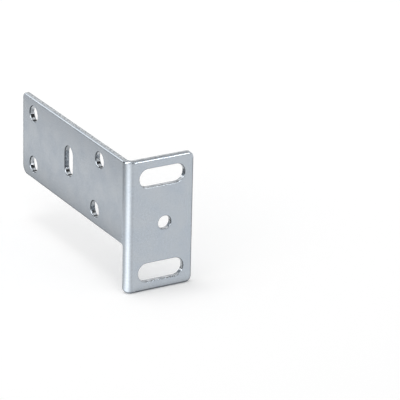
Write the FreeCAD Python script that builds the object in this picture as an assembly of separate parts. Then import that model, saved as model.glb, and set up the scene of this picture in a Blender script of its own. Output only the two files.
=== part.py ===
import FreeCAD, Part
import math
import os

# Rack mount ear bracket, one zinc-plated steel sheet with a single square fold, in millimetres.
# X runs across the rack, Y back along the device's side and Z up.
# The origin is on the axis of the flange's round hole, at the flange's rear face.

# The sheet and its fold
sheet = 1.8
fold_inner_radius = 1.0
neutral_share = 0.42

# The flange, which is screwed to the rack's rail
flange_height = 44.4
flange_width = 23.8
flange_corner_radius = 2.2

# The leg, which is screwed to the device's side, measured from the flange's front face
leg_length = 71.3
leg_height = 28.2
leg_top_corner_radius = 2.0
leg_bottom_corner_radius = 3.0

# The notch below the leg, which ends where the fold starts
notch_inner_radius = 0.4
wrapped_corner_radius = 2.2

# The rack slots, one rack unit's outer hole spacing apart, and the round hole midway between them
rack_hole_spacing = 31.75
rack_slot_length = 16.0
rack_slot_width = 6.2
rack_slot_from_leg = 12.6
round_hole_diameter = 4.5
round_hole_from_leg = 13.7

# The leg's screw holes, in two rows about the leg's middle, and its slot
screw_hole_diameter = 5.4
screw_row_spacing = 17.6
far_holes_from_end = 8.0
near_upper_from_front = 17.9
near_lower_from_front = 20.9
leg_slot_from_front = 38.6
leg_slot_width = 5.4
leg_slot_length = 10.2
leg_slot_above_middle = 1.1

# Edges: rolled over by the punch on the outer side, and lightly broken on the inner side
outline_round = 0.7
hole_round = 0.3
inner_break = 0.2

# Room that a cutter has past the faces that it cuts
cutter_room = 1.0
match_tolerance = 0.001

# How many places on the wrapped corner's curves are worked out
wrapped_steps = 16

# Places worked out from the sizes above
fold_outer_radius = fold_inner_radius + sheet
x_leg = -round_hole_from_leg
x_free = x_leg + flange_width
y_front = -sheet
y_end = y_front + leg_length
z_top = flange_height / 2
z_bottom = -flange_height / 2
z_leg_bottom = z_top - leg_height
z_leg_middle = z_top - leg_height / 2
fold_x = x_leg + fold_outer_radius
fold_y = y_front + fold_outer_radius
fold_neutral_radius = fold_inner_radius + neutral_share * sheet
wrapped_angle = wrapped_corner_radius / fold_neutral_radius


def point(x, y, z):
    return FreeCAD.Vector(x, y, z)


def line(a, b):
    return Part.makeLine(a, b)


def arc(start, through, end):
    return Part.Arc(start, through, end).toShape()


def rounded_outline(corners, place):
    """A closed outline with each corner rounded. A corner is (u, v, radius), and place puts (u, v) in space."""
    edges = []
    starts = []
    ends = []
    count = len(corners)
    for i in range(count):
        u, v, radius = corners[i]
        before = corners[i - 1]
        after = corners[(i + 1) % count]
        arriving = FreeCAD.Vector(before[0] - u, before[1] - v, 0).normalize()
        leaving = FreeCAD.Vector(after[0] - u, after[1] - v, 0).normalize()
        start = (u + arriving.x * radius, v + arriving.y * radius)
        end = (u + leaving.x * radius, v + leaving.y * radius)
        if radius > 0:
            bisector = (arriving + leaving).normalize()
            reach = radius * (math.sqrt(2) - 1)
            middle = (u + bisector.x * reach, v + bisector.y * reach)
            edges.append(arc(place(*start), place(*middle), place(*end)))
        starts.append(start)
        ends.append(end)
    for i in range(count):
        edges.append(line(place(*ends[i]), place(*starts[(i + 1) % count])))
    return Part.Face(Part.Wire(Part.sortEdges(edges)[0]))


def folded_section():
    """The sheet's section seen from above: flange, fold and leg."""
    turn = math.sqrt(0.5)
    outer_mid = point(fold_x - fold_outer_radius * turn, fold_y - fold_outer_radius * turn, z_bottom)
    inner_mid = point(fold_x - fold_inner_radius * turn, fold_y - fold_inner_radius * turn, z_bottom)
    flange_front_start = point(x_free, y_front, z_bottom)
    flange_front_end = point(fold_x, y_front, z_bottom)
    leg_outer_start = point(x_leg, fold_y, z_bottom)
    leg_outer_end = point(x_leg, y_end, z_bottom)
    leg_inner_end = point(x_leg + sheet, y_end, z_bottom)
    leg_inner_start = point(x_leg + sheet, fold_y, z_bottom)
    flange_rear_end = point(fold_x, y_front + sheet, z_bottom)
    flange_rear_start = point(x_free, y_front + sheet, z_bottom)
    edges = [
        line(flange_front_start, flange_front_end),
        arc(flange_front_end, outer_mid, leg_outer_start),
        line(leg_outer_start, leg_outer_end),
        line(leg_outer_end, leg_inner_end),
        line(leg_inner_end, leg_inner_start),
        arc(leg_inner_start, inner_mid, flange_rear_end),
        line(flange_rear_end, flange_rear_start),
        line(flange_rear_start, flange_front_start),
    ]
    return Part.Face(Part.Wire(edges))


def leg_outline():
    """What the leg and the notch leave, seen from the device's side, as a block right through the leg."""
    corners = [
        (y_front - cutter_room, z_bottom, 0),
        (fold_y, z_bottom, 0),
        (fold_y, z_leg_bottom, notch_inner_radius),
        (y_end, z_leg_bottom, leg_bottom_corner_radius),
        (y_end, z_top, leg_top_corner_radius),
        (y_front - cutter_room, z_top, 0),
    ]
    depth = flange_width + 2 * cutter_room
    face = rounded_outline(corners, lambda u, v: point(x_leg - cutter_room, u, v))
    return face.extrude(point(depth, 0, 0))


def flange_outline():
    """The flange's outline with its two rounded free corners, as a block right through the flange."""
    corners = [
        (x_leg - cutter_room, z_bottom, 0),
        (x_free, z_bottom, flange_corner_radius),
        (x_free, z_top, flange_corner_radius),
        (x_leg - cutter_room, z_top, 0),
    ]
    depth = leg_length + 2 * cutter_room
    face = rounded_outline(corners, lambda u, v: point(u, y_front - cutter_room, v))
    return face.extrude(point(0, depth, 0))


def around_fold(radius, angle, height):
    """A place at a radius from the fold's axis, turned from the leg's side towards the flange's front."""
    return point(fold_x - radius * math.cos(angle), fold_y - radius * math.sin(angle), height)


def wrapped_curve(radius):
    """The blank's round corner wrapped round the fold, as a curve at a radius from the fold's axis."""
    turns = []
    spots = []
    for i in range(wrapped_steps + 1):
        turn = math.pi / 2 * i / wrapped_steps
        angle = wrapped_angle * (1 - math.cos(turn))
        height = z_bottom + wrapped_corner_radius * (1 - math.sin(turn))
        turns.append(turn)
        spots.append(around_fold(radius, angle, height))
    setting_off = point(0, 0, -wrapped_corner_radius)
    leaving = point(math.sin(wrapped_angle), -math.cos(wrapped_angle), 0) * (radius * wrapped_angle)
    curve = Part.BSplineCurve()
    curve.interpolate(
        Points=spots, Parameters=turns, InitialTangent=setting_off, FinalTangent=leaving, Scale=False
    )
    return curve.toShape()


def wrapped_corner_cutter():
    """Cuts the blank's round corner, which lies in the fold, so that its wall stays square to the sheet."""
    near = fold_inner_radius / 2
    far = fold_outer_radius + cutter_room
    low = z_bottom - cutter_room
    tops = [wrapped_curve(near), wrapped_curve(far)]
    bases = []
    for radius in (near, far):
        start = around_fold(radius, 0, low)
        middle = around_fold(radius, wrapped_angle / 2, low)
        bases.append(arc(start, middle, around_fold(radius, wrapped_angle, low)))
    faces = [
        Part.makeRuledSurface(tops[0], tops[1]),
        Part.makeRuledSurface(tops[0], bases[0]),
        Part.makeRuledSurface(tops[1], bases[1]),
        Part.makeRuledSurface(bases[0], bases[1]),
    ]
    for angle, height in ((0, z_bottom + wrapped_corner_radius), (wrapped_angle, z_bottom)):
        corners = [
            around_fold(near, angle, low),
            around_fold(far, angle, low),
            around_fold(far, angle, height),
            around_fold(near, angle, height),
        ]
        faces.append(Part.Face(Part.makePolygon(corners + corners[:1])))
    shell = Part.makeShell(faces)
    shell.sewShape()
    return Part.makeSolid(shell)


def obround_cutter(centre, along, length, width, through):
    """A slot with round ends. along is the way it runs, and through the way it is cut, both unit vectors."""
    across = through.cross(along)
    half = (length - width) / 2
    radius = width / 2
    start = centre - through * (sheet + cutter_room)
    left = start - along * half
    right = start + along * half
    edges = [
        line(left + across * radius, right + across * radius),
        arc(right + across * radius, right + along * radius, right - across * radius),
        line(right - across * radius, left - across * radius),
        arc(left - across * radius, left - along * radius, left + across * radius),
    ]
    face = Part.Face(Part.Wire(edges))
    return face.extrude(through * (2 * (sheet + cutter_room)))


def round_cutter(centre, diameter, through):
    """A round hole's cutter."""
    start = centre - through * (sheet + cutter_room)
    return Part.makeCylinder(diameter / 2, 2 * (sheet + cutter_room), start, through)


def hole_places():
    """Every opening as (centre on the outer face, half of its longest size, cutter)."""
    rearward = point(0, 1, 0)
    sideways = point(1, 0, 0)
    up = point(0, 0, 1)
    places = []
    for side in (-1, 1):
        centre = point(x_leg + rack_slot_from_leg, y_front, side * rack_hole_spacing / 2)
        cutter = obround_cutter(centre, sideways, rack_slot_length, rack_slot_width, rearward)
        places.append((centre, rack_slot_length / 2, cutter))
    centre = point(0, y_front, 0)
    places.append((centre, round_hole_diameter / 2, round_cutter(centre, round_hole_diameter, rearward)))
    upper = z_leg_middle + screw_row_spacing / 2
    lower = z_leg_middle - screw_row_spacing / 2
    screws = [
        (y_end - far_holes_from_end, upper),
        (y_end - far_holes_from_end, lower),
        (y_front + near_upper_from_front, upper),
        (y_front + near_lower_from_front, lower),
    ]
    for back, height in screws:
        centre = point(x_leg, back, height)
        places.append((centre, screw_hole_diameter / 2, round_cutter(centre, screw_hole_diameter, sideways)))
    centre = point(x_leg, y_front + leg_slot_from_front, z_leg_middle + leg_slot_above_middle)
    cutter = obround_cutter(centre, up, leg_slot_length, leg_slot_width, sideways)
    places.append((centre, leg_slot_length / 2, cutter))
    return places


def depth_in_sheet(spot):
    """How deep a place lies below the sheet's outer side, which is 0 there and the thickness at the inner side."""
    across = spot.x - x_leg
    back = spot.y - y_front
    if across > fold_outer_radius:
        return back
    if back > fold_outer_radius:
        return across
    return fold_outer_radius - math.hypot(fold_outer_radius - across, fold_outer_radius - back)


def edge_spots(edge):
    """The ends and the middle of an edge."""
    first = edge.FirstParameter
    last = edge.LastParameter
    return [edge.valueAt(first), edge.valueAt((first + last) / 2), edge.valueAt(last)]


def is_fold_line(spots):
    """Whether an edge is one of the straight lines where the fold meets the flat sheet."""
    start, middle, end = spots
    if abs(start.x - end.x) > match_tolerance or abs(start.y - end.y) > match_tolerance:
        return False
    on_leg_side = abs(start.y - fold_y) < match_tolerance and middle.z > z_leg_bottom
    on_flange_side = abs(start.x - fold_x) < match_tolerance
    return on_leg_side or on_flange_side


def outline_edges(shape, depth):
    """The sheet's outline at one depth, all round the folded blank."""
    found = []
    for edge in shape.Edges:
        spots = edge_spots(edge)
        if all(abs(depth_in_sheet(spot) - depth) < match_tolerance for spot in spots):
            if not is_fold_line(spots):
                found.append(edge)
    return found


def rim_edges(shape, places, depth):
    """The rims of the openings at one depth."""
    found = []
    for edge in shape.Edges:
        spots = edge_spots(edge)
        if not all(abs(depth_in_sheet(spot) - depth) < match_tolerance for spot in spots):
            continue
        for centre, half, _ in places:
            if all((spot - centre).Length < math.hypot(half, sheet) + match_tolerance for spot in spots):
                found.append(edge)
                break
    return found


def build_bracket():
    body = folded_section().extrude(point(0, 0, flange_height))
    body = body.common(leg_outline())
    body = body.common(flange_outline())
    body = body.cut(wrapped_corner_cutter())
    body = body.removeSplitter()
    body = body.makeFillet(outline_round, outline_edges(body, 0))
    body = body.makeChamfer(inner_break, outline_edges(body, sheet))
    places = hole_places()
    for _, _, cutter in places:
        body = body.cut(cutter)
    body = body.makeFillet(hole_round, rim_edges(body, places, 0))
    body = body.makeChamfer(inner_break, rim_edges(body, places, sheet))
    return body.Solids[0]


os.makedirs("parts", exist_ok=True)
bracket = build_bracket()
bracket.exportStep("parts/ear_bracket.step")
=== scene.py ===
import math

import bmesh
import bpy
from mathutils import Matrix, Vector


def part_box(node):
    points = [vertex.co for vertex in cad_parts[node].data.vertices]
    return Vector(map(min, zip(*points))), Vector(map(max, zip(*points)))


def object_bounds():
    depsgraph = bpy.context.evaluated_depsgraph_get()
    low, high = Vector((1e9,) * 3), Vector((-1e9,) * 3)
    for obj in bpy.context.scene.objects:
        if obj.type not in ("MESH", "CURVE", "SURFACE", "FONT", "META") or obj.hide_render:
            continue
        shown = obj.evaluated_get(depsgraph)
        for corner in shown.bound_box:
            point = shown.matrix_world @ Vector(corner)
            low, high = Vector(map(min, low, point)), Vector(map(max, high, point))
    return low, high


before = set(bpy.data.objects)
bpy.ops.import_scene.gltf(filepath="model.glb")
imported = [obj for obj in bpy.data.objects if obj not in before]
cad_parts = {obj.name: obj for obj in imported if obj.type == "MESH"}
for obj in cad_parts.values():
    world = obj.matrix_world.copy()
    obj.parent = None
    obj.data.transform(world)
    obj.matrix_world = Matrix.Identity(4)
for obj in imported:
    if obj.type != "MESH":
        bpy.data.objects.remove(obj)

bl_info = {
    "name": "Rack mount ear bracket",
    "version": (1, 0, 0),
    "blender": (4, 5, 0),
    "location": "3D View > Sidebar > Ear Bracket",
    "description": "Finishes the folded ear bracket and sets up its studio",
    "category": "Object",
}

CAD_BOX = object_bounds()
BRACKET_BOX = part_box("ear_bracket")
MM = 1000  # millimetres in a metre

# The folded sheet, in millimetres
SHEET = 1.8
FOLD_OUTER_RADIUS = 2.8
FOLD_NEUTRAL_RADIUS = 1.756

# Depths below the sheet's outer side, in millimetres: of the rounded rim, of the part of the wall that broke
# instead of being cut, and of the torn edge at the die's side
RIM_WHOLE, RIM_ENDS = 0.32, 0.42
BREAK_STARTS, BREAK_WHOLE = 0.35 * SHEET, 0.55 * SHEET
TEAR_STARTS, TEAR_WHOLE = SHEET - 0.40, SHEET - 0.22

# Cosines between the surface's normal and the sheet's: 1 on the two sides, 0 on a square wall
EDGE_STARTS, EDGE_WHOLE = 0.98, 0.85
WALL_STARTS, WALL_WHOLE = 0.60, 0.15

# Painted shade on the holes' rims: a rim is darkened where less than all the space round it is open, and only
# where it faces down or sideways, by its normal's Z
RIM_SHADE_WHOLE, RIM_SHADE_ENDS = 0.98, 1.0
DOWN_SHADE_WHOLE, DOWN_SHADE_ENDS = 0.15, 0.45

# Patterns: a rolling line is 25 times as long as it is wide, and the shear marks lean. The reliefs are in
# millimetres
LINE_STRETCH = 1 / 25
SHEAR_LEAN = 0.9
LINE_RELIEF = 0.003
SHEAR_RELIEF = 0.01

# Shading: the share of blue in the passivation's patches, the grain's shade, and what changes the roughness
BLUE_SHARE = 0.6
GRAIN_SHADE = 0.04
BLOOM_SMOOTHER, BLOOM_ROUGHER = 0.03, 0.04
EDGE_SMOOTHER = 0.10
BREAK_ROUGHER = 0.06

# The softboxes: name, place and width in metres, and watts. Both point at the leg's foot
SOFTBOXES = (
    ("overhead_softbox", (-0.10, 0.14, 0.90), 0.3, 1.7),
    ("left_softbox", (-0.38, 0.02, 0.80), 0.4, 0.7),
)
SOFTBOX_TARGET = (0, 0.02, 0)

# Heights of the cards that lie on the floor, in millimetres: just above it, and above another card
ON_FLOOR = 0.1
ON_CARD = 0.2
CURVE_STEPS = 6  # lines from one bearing of a curved card to the next


def linear(hex_colour):
    """Turns an sRGB hex colour into the linear colour that Blender's sockets take."""
    channels = []
    for i in (0, 2, 4):
        value = int(hex_colour[i:i + 2], 16) / 255
        channels.append(value / 12.92 if value <= 0.04045 else ((value + 0.055) / 1.055) ** 2.4)
    return (*channels, 1.0)


def add_node(tree, kind, inputs=None, **settings):
    """Adds one node. Its inputs take a value or the socket to link, and its settings are its own properties."""
    node = tree.nodes.new(kind)
    for name, value in settings.items():
        setattr(node, name, value)
    for key, value in (inputs or {}).items():
        if isinstance(value, bpy.types.NodeSocket):
            tree.links.new(value, node.inputs[key])
        else:
            node.inputs[key].default_value = value
    return node


def new_tree(owner):
    """An empty node tree for a material or a world."""
    owner.use_nodes = True
    owner.node_tree.nodes.clear()
    return owner.node_tree


class BracketSettings(bpy.types.PropertyGroup):
    """The finish of the bracket."""

    plating_hex: bpy.props.StringProperty(
        name="Plating colour",
        description="The zinc plating's colour, as sRGB hex",
        default="B1B7BD",
    )
    plating_blue_hex: bpy.props.StringProperty(
        name="Passivation colour",
        description="The faint blue of the clear passivation, as sRGB hex",
        default="A9B2BC",
    )
    sheared_hex: bpy.props.StringProperty(
        name="Sheared wall colour",
        description="The sheared wall under its plating, as sRGB hex",
        default="BFC3C7",
    )
    mark_hex: bpy.props.StringProperty(
        name="Shear mark colour",
        description="The marks across the sheared wall, as sRGB hex",
        default="9A9FA4",
    )
    torn_hex: bpy.props.StringProperty(
        name="Torn edge colour",
        description="The edge that the punch breaks out of the sheet, as sRGB hex",
        default="9DA2A7",
    )
    # Painted shade: the dark colour laid on the holes' rims that face down or sideways
    rim_shade_hex: bpy.props.StringProperty(
        name="Hole rim colour",
        description="The thin plating on the rims of the holes, as sRGB hex",
        default="53585C",
    )
    # How wide a hole can be and still get the painted rim shade, in millimetres
    rim_shade_reach: bpy.props.FloatProperty(
        name="Screened size",
        description="How wide a hole can be and still screen its rim, in millimetres",
        default=8.0,
        min=0.1,
    )
    roughness: bpy.props.FloatProperty(
        name="Roughness",
        description="How satin the plated faces are",
        default=0.22,
        min=0.0,
        max=1.0,
        subtype="FACTOR",
    )
    bloom_size: bpy.props.FloatProperty(
        name="Bloom size",
        description="The size of the plating's soft patches, in millimetres",
        default=7.0,
        min=0.1,
    )
    grain_size: bpy.props.FloatProperty(
        name="Grain size",
        description="The size of the satin's grain, in millimetres",
        default=0.6,
        min=0.05,
    )
    shear_mark: bpy.props.FloatProperty(
        name="Shear mark spacing",
        description="The spacing of the marks on the sheared walls, in millimetres",
        default=1.1,
        min=0.05,
    )
    rolling_line: bpy.props.FloatProperty(
        name="Rolling line spacing",
        description="The spacing of the rolled sheet's lines, in millimetres",
        default=0.45,
        min=0.01,
    )


class StudioSettings(bpy.types.PropertyGroup):
    """The floor, the room and the camera."""

    floor_hex: bpy.props.StringProperty(
        name="Floor colour",
        description="The paper floor's colour, as sRGB hex",
        default="F2F2F2",
    )
    floor_size: bpy.props.FloatProperty(
        name="Floor size",
        description="The width of the floor",
        default=6.0,
        min=0.1,
        unit="LENGTH",
    )
    floor_lift: bpy.props.FloatProperty(
        name="Floor lift",
        description="How much whiter the floor is seen than it is lit",
        default=0.18,
        min=0.0,
        max=1.0,
        subtype="FACTOR",
    )
    room_light: bpy.props.FloatProperty(
        name="Room light",
        description="How much of the room's white lights the bracket",
        default=0.72,
        min=0.0,
        max=1.0,
        subtype="FACTOR",
    )
    aim: bpy.props.FloatVectorProperty(
        name="Aim",
        description="The place that the camera looks at",
        default=(0.00778, -0.00993, 0.00914),
        subtype="XYZ",
        unit="LENGTH",
    )
    distance: bpy.props.FloatProperty(
        name="Distance",
        description="From the camera to the place it looks at",
        default=0.9164,
        min=0.01,
        unit="LENGTH",
    )
    azimuth: bpy.props.FloatProperty(
        name="Azimuth",
        description="The camera's turn round the bracket",
        default=math.radians(30.37),
        unit="ROTATION",
    )
    elevation: bpy.props.FloatProperty(
        name="Elevation",
        description="The camera's angle above the floor",
        default=math.radians(22.39),
        unit="ROTATION",
    )
    roll: bpy.props.FloatProperty(
        name="Roll",
        description="The camera's turn about its own axis",
        default=math.radians(1.4),
        unit="ROTATION",
    )
    lens: bpy.props.FloatProperty(
        name="Lens",
        description="The camera's focal length",
        default=266.6,
        min=1.0,
        unit="CAMERA",
    )


def place_in_blank(tree):
    """Unrolls the fold. Gives how far a point is along the flat blank, how high and how deep below the outer side.

    All three are in millimetres. The fourth output is the direction straight through the sheet at that point.
    """
    low = BRACKET_BOX[0] * MM
    fold = (low.x + FOLD_OUTER_RADIUS, low.y + FOLD_OUTER_RADIUS, 0.0)
    place = add_node(tree, "ShaderNodeTexCoord").outputs["Object"]
    place = add_node(tree, "ShaderNodeVectorMath", {0: place, 1: (MM, MM, MM)}, operation="MULTIPLY").outputs[0]
    to_fold = add_node(tree, "ShaderNodeVectorMath", {0: fold, 1: place}, operation="SUBTRACT").outputs[0]

    # Past the fold the run goes on straight, along X on the flange and along Y on the leg
    past_fold = add_node(
        tree, "ShaderNodeVectorMath", {0: to_fold, 1: (-1, -1, 0)}, operation="MULTIPLY"
    ).outputs[0]
    past_fold = add_node(
        tree, "ShaderNodeVectorMath", {0: past_fold, 1: (0, 0, 0)}, operation="MAXIMUM"
    ).outputs[0]
    past = add_node(tree, "ShaderNodeSeparateXYZ", {0: past_fold}).outputs

    # What is left points at the fold's axis, and its length is the radius that the point has there
    in_fold = add_node(tree, "ShaderNodeVectorMath", {0: to_fold, 1: (1, 1, 0)}, operation="MULTIPLY").outputs[0]
    in_fold = add_node(tree, "ShaderNodeVectorMath", {0: in_fold, 1: (0, 0, 0)}, operation="MAXIMUM").outputs[0]
    radius = add_node(tree, "ShaderNodeVectorMath", {0: in_fold}, operation="LENGTH").outputs["Value"]
    depth = add_node(tree, "ShaderNodeMath", {0: FOLD_OUTER_RADIUS, 1: radius}, operation="SUBTRACT").outputs[0]
    turn = add_node(tree, "ShaderNodeSeparateXYZ", {0: in_fold}).outputs
    angle = add_node(tree, "ShaderNodeMath", {0: turn[0], 1: turn[1]}, operation="ARCTAN2").outputs[0]
    run = add_node(
        tree, "ShaderNodeMath", {0: angle, 1: -FOLD_NEUTRAL_RADIUS, 2: past[0]}, operation="MULTIPLY_ADD"
    ).outputs[0]
    run = add_node(tree, "ShaderNodeMath", {0: run, 1: past[1]}, operation="SUBTRACT").outputs[0]
    height = add_node(tree, "ShaderNodeSeparateXYZ", {0: place}).outputs[2]
    through_sheet = add_node(tree, "ShaderNodeVectorMath", {0: in_fold}, operation="NORMALIZE").outputs[0]
    return run, height, depth, through_sheet


def punched_edges(tree, normal, through_sheet, depth):
    """Masks for what the punch left.

    They are the sheared walls, their broken part, all that is off the sheet's two sides, and the torn edge at the
    die's side.
    """
    facing = add_node(
        tree, "ShaderNodeVectorMath", {0: normal, 1: through_sheet}, operation="DOT_PRODUCT"
    ).outputs["Value"]
    facing = add_node(tree, "ShaderNodeMath", {0: facing}, operation="ABSOLUTE").outputs[0]
    wall = add_node(
        tree, "ShaderNodeMapRange", {"Value": facing, "From Min": WALL_STARTS, "From Max": WALL_WHOLE},
        interpolation_type="SMOOTHSTEP",
    ).outputs[0]
    broken = add_node(
        tree, "ShaderNodeMapRange", {"Value": depth, "From Min": BREAK_STARTS, "From Max": BREAK_WHOLE},
        interpolation_type="SMOOTHSTEP",
    ).outputs[0]
    broken = add_node(tree, "ShaderNodeMath", {0: broken, 1: wall}, operation="MULTIPLY").outputs[0]
    off_face = add_node(
        tree, "ShaderNodeMapRange", {"Value": facing, "From Min": EDGE_STARTS, "From Max": EDGE_WHOLE},
        interpolation_type="SMOOTHSTEP",
    ).outputs[0]
    torn = add_node(
        tree, "ShaderNodeMapRange", {"Value": depth, "From Min": TEAR_STARTS, "From Max": TEAR_WHOLE}
    ).outputs[0]
    torn = add_node(tree, "ShaderNodeMath", {0: torn, 1: off_face}, operation="MULTIPLY").outputs[0]
    return wall, broken, off_face, torn


def painted_hole_rim_shade(tree, settings, normal, depth, off_face):
    """A mask for painted shade on the holes' rims, where a hole's walls close in the space round the rim."""
    open_space = add_node(
        tree, "ShaderNodeAmbientOcclusion", {"Distance": settings.rim_shade_reach / MM}, samples=32, only_local=True
    ).outputs["AO"]
    rim_shade = add_node(
        tree, "ShaderNodeMapRange", {"Value": open_space, "From Min": RIM_SHADE_ENDS, "From Max": RIM_SHADE_WHOLE}
    ).outputs[0]
    rim = add_node(
        tree, "ShaderNodeMapRange", {"Value": depth, "From Min": RIM_ENDS, "From Max": RIM_WHOLE}
    ).outputs[0]
    rim_shade = add_node(tree, "ShaderNodeMath", {0: rim_shade, 1: rim}, operation="MULTIPLY").outputs[0]
    rim_shade = add_node(tree, "ShaderNodeMath", {0: rim_shade, 1: off_face}, operation="MULTIPLY").outputs[0]
    # The painted shade stays only on the rims that face down or sideways
    upward = add_node(tree, "ShaderNodeSeparateXYZ", {0: normal}).outputs[2]
    facing_down_or_aside = add_node(
        tree, "ShaderNodeMapRange", {"Value": upward, "From Min": DOWN_SHADE_ENDS, "From Max": DOWN_SHADE_WHOLE}
    ).outputs[0]
    return add_node(tree, "ShaderNodeMath", {0: rim_shade, 1: facing_down_or_aside}, operation="MULTIPLY").outputs[0]


def zinc_plated_steel(settings):
    """Bright zinc plating on cold-rolled steel sheet.

    The plating is thin and satin, so the faces mirror the room softly, with faint cool patches of passivation and
    the rolled sheet's lines under it. Plating current gathers on edges, so the edges and the sheared walls are
    smoother and mirror more sharply than the faces. The part of a wall that broke is a little rougher than the
    part that was cut.
    """
    material = bpy.data.materials.new("bright_zinc_plated_cold_rolled_steel")
    tree = new_tree(material)
    run, height, depth, through_sheet = place_in_blank(tree)
    normal = add_node(tree, "ShaderNodeNewGeometry").outputs["Normal"]
    wall, broken, off_face, torn = punched_edges(tree, normal, through_sheet, depth)
    rim_shade = painted_hole_rim_shade(tree, settings, normal, depth, off_face)

    # Patterns in the blank, which run on round the fold. The plating's bloom comes in soft patches
    blank = add_node(tree, "ShaderNodeCombineXYZ", {0: run, 1: height, 2: depth}).outputs[0]
    bloom = add_node(
        tree, "ShaderNodeTexNoise",
        {"Vector": blank, "Scale": 1 / settings.bloom_size, "Detail": 3.0, "Roughness": 0.55},
    ).outputs[0]
    # The satin's grain, drawn coarser than its real 0.05 mm, which is too fine to show
    grain = add_node(
        tree, "ShaderNodeTexNoise", {"Vector": blank, "Scale": 1 / settings.grain_size, "Detail": 1.0}
    ).outputs[0]
    # The rolls leave lines along the sheet. Real ones are about 0.05 mm apart, so these are drawn coarser too
    line_scale = (LINE_STRETCH / settings.rolling_line, 1 / settings.rolling_line, 0.0)
    line_place = add_node(
        tree, "ShaderNodeVectorMath", {0: blank, 1: line_scale}, operation="MULTIPLY"
    ).outputs[0]
    lines = add_node(tree, "ShaderNodeTexNoise", {"Vector": line_place, "Scale": 1.0, "Detail": 2.0}).outputs[0]
    # Shear marks cross the wall at a slant. Real ones are about 0.2 mm apart, so these are drawn coarser too
    slant = add_node(tree, "ShaderNodeMath", {0: depth, 1: SHEAR_LEAN}, operation="MULTIPLY").outputs[0]
    mark_run = add_node(tree, "ShaderNodeMath", {0: run, 1: slant}, operation="ADD").outputs[0]
    mark_height = add_node(tree, "ShaderNodeMath", {0: height, 1: slant}, operation="ADD").outputs[0]
    mark_place = add_node(tree, "ShaderNodeCombineXYZ", {0: mark_run, 1: mark_height}).outputs[0]
    shear = add_node(
        tree, "ShaderNodeTexNoise", {"Vector": mark_place, "Scale": 1 / settings.shear_mark, "Detail": 1.0}
    ).outputs[0]

    # Colour: the plated sides, the marked walls, then the tear and the painted shade on the holes' rims over both
    cool = add_node(
        tree, "ShaderNodeMapRange", {"Value": bloom, "From Min": 0.35, "From Max": 0.65, "To Max": BLUE_SHARE}
    ).outputs[0]
    plated = add_node(
        tree, "ShaderNodeMix",
        {0: cool, 6: linear(settings.plating_hex), 7: linear(settings.plating_blue_hex)},
        data_type="RGBA",
    ).outputs[2]
    shade = add_node(
        tree, "ShaderNodeMapRange",
        {"Value": grain, "From Min": 0.25, "From Max": 0.75, "To Min": 1 - GRAIN_SHADE, "To Max": 1 + GRAIN_SHADE},
    ).outputs[0]
    plated = add_node(tree, "ShaderNodeVectorMath", {0: plated, "Scale": shade}, operation="SCALE").outputs[0]
    marks = add_node(
        tree, "ShaderNodeMapRange", {"Value": shear, "From Min": 0.42, "From Max": 0.58},
        interpolation_type="SMOOTHSTEP",
    ).outputs[0]
    sheared = add_node(
        tree, "ShaderNodeMix", {0: marks, 6: linear(settings.sheared_hex), 7: linear(settings.mark_hex)},
        data_type="RGBA",
    ).outputs[2]
    colour = add_node(tree, "ShaderNodeMix", {0: wall, 6: plated, 7: sheared}, data_type="RGBA").outputs[2]
    colour = add_node(
        tree, "ShaderNodeMix", {0: torn, 6: colour, 7: linear(settings.torn_hex)}, data_type="RGBA"
    ).outputs[2]
    colour = add_node(
        tree, "ShaderNodeMix", {0: rim_shade, 6: colour, 7: linear(settings.rim_shade_hex)}, data_type="RGBA"
    ).outputs[2]

    # Roughness
    satin = add_node(
        tree, "ShaderNodeMapRange",
        {
            "Value": bloom, "From Min": 0.3, "From Max": 0.7,
            "To Min": settings.roughness - BLOOM_SMOOTHER, "To Max": settings.roughness + BLOOM_ROUGHER,
        },
    ).outputs[0]
    smooth = add_node(
        tree, "ShaderNodeMath", {0: off_face, 1: -EDGE_SMOOTHER, 2: satin}, operation="MULTIPLY_ADD"
    ).outputs[0]
    rough = add_node(
        tree, "ShaderNodeMath", {0: broken, 1: BREAK_ROUGHER, 2: smooth}, operation="MULTIPLY_ADD"
    ).outputs[0]

    # Fine relief: the rolling lines on the two sides, and the shear marks where the walls broke
    skin = add_node(tree, "ShaderNodeMath", {0: 1.0, 1: wall}, operation="SUBTRACT").outputs[0]
    lines_on_skin = add_node(tree, "ShaderNodeMath", {0: lines, 1: skin}, operation="MULTIPLY").outputs[0]
    rolled = add_node(
        tree, "ShaderNodeBump", {"Height": lines_on_skin, "Strength": 1.0, "Distance": LINE_RELIEF / MM}
    ).outputs[0]
    shear_on_wall = add_node(tree, "ShaderNodeMath", {0: shear, 1: broken}, operation="MULTIPLY").outputs[0]
    relief = add_node(
        tree, "ShaderNodeBump",
        {"Height": shear_on_wall, "Strength": 1.0, "Distance": SHEAR_RELIEF / MM, "Normal": rolled},
    ).outputs[0]

    metal = add_node(
        tree, "ShaderNodeBsdfPrincipled",
        {"Base Color": colour, "Metallic": 1.0, "Roughness": rough, "Normal": relief},
    )
    add_node(tree, "ShaderNodeOutputMaterial", {"Surface": metal.outputs[0]})
    return material


class OBJECT_OT_finish_bracket(bpy.types.Operator):
    """Give the folded bracket its zinc-plated finish"""

    bl_idname = "object.finish_bracket"
    bl_label = "Finish Bracket"

    def execute(self, context):
        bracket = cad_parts.get("ear_bracket")
        if bracket is None:
            raise RuntimeError("the frame has no ear_bracket node")
        finish = zinc_plated_steel(context.scene.ear_bracket)
        for slot in bracket.material_slots:
            slot.material = finish
        return {"FINISHED"}


def seen_by_camera_or_metal(tree):
    """1 where the camera or a reflection looks, and 0 where light is gathered."""
    path = add_node(tree, "ShaderNodeLightPath").outputs
    return add_node(
        tree, "ShaderNodeMath", {0: path["Is Camera Ray"], 1: path["Is Glossy Ray"]}, operation="MAXIMUM"
    ).outputs[0]


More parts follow.
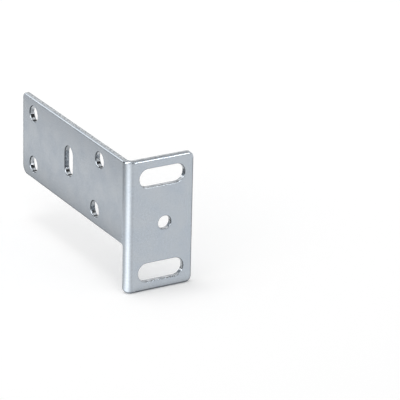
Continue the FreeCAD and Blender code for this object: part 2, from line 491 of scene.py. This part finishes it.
def paper_floor(settings):
    """Matt white paper. The camera and the metal see it lifted to white, and the shadows on it stay."""
    material = bpy.data.materials.new("matt_white_paper")
    tree = new_tree(material)
    paper = add_node(tree, "ShaderNodeBsdfDiffuse", {"Color": linear(settings.floor_hex), "Roughness": 0.9})
    lift = add_node(tree, "ShaderNodeEmission", {"Color": (1, 1, 1, 1), "Strength": settings.floor_lift})
    lifted = add_node(tree, "ShaderNodeAddShader", {0: paper.outputs[0], 1: lift.outputs[0]})
    shown = seen_by_camera_or_metal(tree)
    mixed = add_node(tree, "ShaderNodeMixShader", {0: shown, 1: paper.outputs[0], 2: lifted.outputs[0]})
    add_node(tree, "ShaderNodeOutputMaterial", {"Surface": mixed.outputs[0]})
    return material


def lay_floor(scene, settings, ground):
    """Lays the square paper floor under the bracket."""
    half = settings.floor_size / 2
    shape = bmesh.new()
    corners = ((-half, -half), (half, -half), (half, half), (-half, half))
    shape.faces.new([shape.verts.new((x, y, ground)) for x, y in corners])
    mesh = bpy.data.meshes.new("floor")
    shape.to_mesh(mesh)
    shape.free()
    floor = bpy.data.objects.new("floor", mesh)
    scene.collection.objects.link(floor)
    floor.data.materials.append(paper_floor(settings))


def white_room(scene, settings):
    """A white room: the camera and the metal see it white, and it lights the bracket softly."""
    scene.world = bpy.data.worlds.new("white_room")
    tree = new_tree(scene.world)
    shown = seen_by_camera_or_metal(tree)
    strength = add_node(tree, "ShaderNodeMapRange", {"Value": shown, "To Min": settings.room_light}).outputs[0]
    background = add_node(tree, "ShaderNodeBackground", {"Color": (1, 1, 1, 1), "Strength": strength})
    add_node(tree, "ShaderNodeOutputWorld", {"Surface": background.outputs[0]})


def add_softbox(scene, name, place, width, watts):
    """A square softbox that points at the leg's foot."""
    lamp = bpy.data.lights.new(name, "AREA")
    lamp.shape = "SQUARE"
    lamp.size = width
    lamp.energy = watts
    box = bpy.data.objects.new(name, lamp)
    scene.collection.objects.link(box)
    box.location = place
    box.rotation_euler = (Vector(place) - Vector(SOFTBOX_TARGET)).to_track_quat("Z", "Y").to_euler()
    box.visible_camera = False


def painted_reflection_glow():
    """The glow of the cards, the painted reflections, as bright as their points say, where 1 is the white of the
    room.
    """
    material = bpy.data.materials.new("painted_reflection_card")
    tree = new_tree(material)
    brightness = add_node(tree, "ShaderNodeAttribute", attribute_name="brightness").outputs["Fac"]
    glow = add_node(tree, "ShaderNodeEmission", {"Color": (1, 1, 1, 1), "Strength": brightness})
    add_node(tree, "ShaderNodeOutputMaterial", {"Surface": glow.outputs[0]})
    return material


def lines_ahead(ground, across, points):
    """The lines of a card before the flange. They run forwards from its foot, at these places along X."""
    return [(Vector((x, BRACKET_BOX[0].y, ground)), Vector((0, -1, 0)), points) for x in across]


def lines_aside(ground, along, points):
    """The lines of a card beside the leg. They run outwards from its foot, at these places along Y."""
    return [(Vector((BRACKET_BOX[0].x, y, ground)), Vector((-1, 0, 0)), points) for y in along]


def lines_round(foot, bearings, points):
    """The lines of a curved card. Each bearing is in degrees from X towards Y, with its share of the glow."""
    lines = []
    for (first, dim), (last, bright) in zip(bearings, bearings[1:]):
        for i in range(CURVE_STEPS + 1):
            turn = math.radians(first + (last - first) * i / CURVE_STEPS)
            share = dim + (bright - dim) * i / CURVE_STEPS
            out = Vector((math.cos(turn), math.sin(turn), 0))
            lines.append((foot, out, [(distance, height, level * share) for distance, height, level in points]))
    return lines


def painted_reflection_cards(ground):
    """Painted reflections, the glowing cards and dark flags that only the metal mirrors: the lines of each, by
    name.

    A line has its foot, the direction that it runs out in, and points, each with a distance and a height in
    millimetres and a brightness. Cards are about as bright as the room or brighter, and flags are darker.
    """
    low, high = BRACKET_BOX
    top = (high.z - ground) * MM
    outer = FOLD_OUTER_RADIUS / MM
    fold = Vector((low.x + outer, low.y + outer, ground))
    edge = Vector((high.x, low.y, ground))
    return {
        # A painted reflection of the lit floor before the flange, with painted shade in the gap under its lower
        # edge
        "flange_floor_card": lines_ahead(ground, (fold.x, high.x, high.x + 0.08), (
            (0, ON_FLOOR, 0.10), (0.7, ON_FLOOR, 0.15), (1.3, ON_FLOOR, 0.70), (2.4, ON_FLOOR, 0.92),
            (5, ON_FLOOR, 1.05), (60, ON_FLOOR, 1.06), (120, ON_FLOOR, 1.06),
        )),
        # Painted reflections of the floor beside the fold and the leg, with painted shade close to them and dim
        # further off
        "fold_side_card": lines_aside(ground, (low.y, fold.y, 0.033), (
            (0, ON_FLOOR, 0.3), (1.5, ON_FLOOR, 0.6), (4, ON_FLOOR, 0.92), (60, ON_FLOOR, 0.94),
            (110, ON_FLOOR, 0.75), (300, ON_FLOOR, 0.4),
        )),
        "leg_floor_card": lines_aside(ground, (0.034, 0.06, 0.10, 0.16, 0.25), (
            (0, ON_FLOOR, 0.15), (15, ON_FLOOR, 0.30), (18.5, ON_FLOOR, 0.74), (22, ON_FLOOR, 0.86),
            (25, ON_FLOOR, 0.95), (29, ON_FLOOR, 1.04), (36, ON_FLOOR, 1.05), (44, ON_FLOOR, 1.02),
            (50, ON_FLOOR, 0.84), (58, ON_FLOOR, 0.72), (100, ON_FLOOR, 0.45), (300, ON_FLOOR, 0.35),
        )),
        # A painted reflection of the bright floor round the corner, which paints the highlight down the fold
        "fold_highlight_card": lines_round(
            fold,
            (
                (180, 0.95), (188, 1.2), (204, 1.8), (216, 2.1), (228, 2.1), (240, 1.7), (252, 1.2), (266, 0.92),
                (279, 0.88), (288, 1.1),
            ),
            (
                (2.8, ON_CARD, 0.15), (3.3, ON_CARD, 0.4), (4.2, ON_CARD, 0.95), (6, ON_CARD, 1.05),
                (120, ON_CARD, 1.0),
            ),
        ),
        # Dark painted reflections of the dim far end of the room, and of the dim floor behind, which the near
        # holes' walls show
        "horizon_flag": lines_round(fold, ((50, 1), (275, 1)), ((900, 1, 0.35), (900, 140, 0.35))),
        "rear_floor_flag": lines_round(fold, ((50, 1), (68, 1)), ((75, ON_CARD, 0.4), (350, ON_CARD, 0.4))),
        # A painted reflection of a bright strip at the right, for the upright roundings, above a dim floor
        "right_strip_card": lines_round(
            fold,
            ((284, 0.6), (292, 2.6), (310, 2.6), (322, 1.4)),
            ((200, 1, 0.25), (600, 88, 0.25), (620, 100, 1.0), (700, 190, 1.0)),
        ),
        # Painted highlights: the bright line along the flange's top edge, and its softer end over the fold
        "top_line_card": lines_ahead(ground, (0.005, 0.036), ((35, top + 4, 9.0), (35, top + 12, 9.0))),
        "top_fill_card": lines_ahead(ground, (-0.009, 0.020), ((5, top + 1.8, 1.1), (5, top + 10, 1.1))),
        # Dark flags, low at the flange's right edge and high round the room, which paint the thin dark lines in
        # the reflections
        "right_floor_flag": lines_round(edge, ((330, 1), (370, 1)), ((3, ON_CARD, 0.15), (130, ON_CARD, 0.15))),
        "rear_right_flag": lines_round(fold, ((40, 1), (80, 1)), ((600, 455, 0.06), (350, 700, 0.06))),
        "right_flag": lines_round(fold, ((284, 1), (338, 1)), ((690, 215, 0.05), (400, 750, 0.05))),
        "front_flag": lines_round(fold, ((266, 1), (283, 1)), ((880, 150, 0.10), (500, 800, 0.10))),
        # Painted reflections behind the leg, a bright card and a dark flag, and the large card at the left that
        # paints the highlight on the holes' lower rims
        "rear_left_card": lines_round(fold, ((104, 1), (130, 1)), ((900, 140, 2.1), (850, 440, 2.1))),
        "rear_flag": lines_round(fold, ((131, 1), (165, 1)), ((880, 1, 0.03), (650, 480, 0.03))),
        "left_card": lines_round(
            fold, ((168, 1), (204, 1), (214, 0.2), (262, 0.2)), ((900, 140, 6.5), (770, 540, 6.5))
        ),
    }


def add_card(scene, name, lines, glow):
    """Adds a card, a painted reflection that only the metal's reflections show."""
    shape = bmesh.new()
    brightness = shape.verts.layers.float.new("brightness")
    corners = []
    for foot, out, points in lines:
        row = []
        for distance, height, level in points:
            corner = shape.verts.new(foot + (out * distance + Vector((0, 0, height))) / MM)
            corner[brightness] = level
            row.append(corner)
        corners.append(row)
    for first, second in zip(corners, corners[1:]):
        for i in range(len(first) - 1):
            shape.faces.new((first[i], second[i], second[i + 1], first[i + 1]))
    mesh = bpy.data.meshes.new(name)
    shape.to_mesh(mesh)
    shape.free()
    card = bpy.data.objects.new(name, mesh)
    scene.collection.objects.link(card)
    card.data.materials.append(glow)
    card.visible_camera = False
    card.visible_diffuse = False
    card.visible_transmission = False
    card.visible_volume_scatter = False
    card.visible_shadow = False


def camera_axes(azimuth, elevation, roll):
    """The camera's right, up and back directions."""
    level = math.cos(elevation)
    back = Vector((-math.sin(azimuth) * level, -math.cos(azimuth) * level, math.sin(elevation)))
    right = Vector((math.cos(azimuth), -math.sin(azimuth), 0))
    up = back.cross(right)
    return (
        math.cos(roll) * right + math.sin(roll) * up,
        math.cos(roll) * up - math.sin(roll) * right,
        back,
    )


def place_camera(scene, settings):
    """Places the camera and makes it the scene's own."""
    right, up, back = camera_axes(settings.azimuth, settings.elevation, settings.roll)
    turn = Matrix((right, up, back)).transposed().to_4x4()
    camera_data = bpy.data.cameras.new("camera")
    camera_data.sensor_width = 36
    camera_data.lens = settings.lens
    camera_data.clip_start = 0.01
    camera_data.clip_end = 20
    camera = bpy.data.objects.new("camera", camera_data)
    scene.collection.objects.link(camera)
    camera.matrix_world = Matrix.Translation(Vector(settings.aim) + back * settings.distance) @ turn
    scene.camera = camera


class OBJECT_OT_set_up_studio(bpy.types.Operator):
    """Lay the floor, hang the softboxes and the cards, and place the camera"""

    bl_idname = "object.set_up_ear_studio"
    bl_label = "Set Up Studio"

    def execute(self, context):
        scene = context.scene
        settings = scene.ear_studio
        ground = CAD_BOX[0].z
        lay_floor(scene, settings, ground)
        white_room(scene, settings)
        for softbox in SOFTBOXES:
            add_softbox(scene, *softbox)
        glow = painted_reflection_glow()
        for name, lines in painted_reflection_cards(ground).items():
            add_card(scene, name, lines, glow)
        place_camera(scene, settings)
        scene.view_settings.view_transform = "Standard"
        return {"FINISHED"}


class VIEW3D_PT_ear_bracket(bpy.types.Panel):
    """The bracket's finish and its studio"""

    bl_label = "Ear Bracket"
    bl_space_type = "VIEW_3D"
    bl_region_type = "UI"
    bl_category = "Ear Bracket"

    def draw(self, context):
        for group, operator in (
            (context.scene.ear_bracket, OBJECT_OT_finish_bracket),
            (context.scene.ear_studio, OBJECT_OT_set_up_studio),
        ):
            box = self.layout.box()
            for name in group.bl_rna.properties.keys():
                if name not in ("rna_type", "name"):
                    box.prop(group, name)
            box.operator(operator.bl_idname)


CLASSES = (
    BracketSettings,
    StudioSettings,
    OBJECT_OT_finish_bracket,
    OBJECT_OT_set_up_studio,
    VIEW3D_PT_ear_bracket,
)


def register():
    for cls in CLASSES:
        bpy.utils.register_class(cls)
    bpy.types.Scene.ear_bracket = bpy.props.PointerProperty(type=BracketSettings)
    bpy.types.Scene.ear_studio = bpy.props.PointerProperty(type=StudioSettings)


def unregister():
    del bpy.types.Scene.ear_studio
    del bpy.types.Scene.ear_bracket
    for cls in reversed(CLASSES):
        bpy.utils.unregister_class(cls)


def main():
    register()
    bpy.ops.object.finish_bracket()
    bpy.ops.object.set_up_ear_studio()


if __name__ == "__main__":
    main()
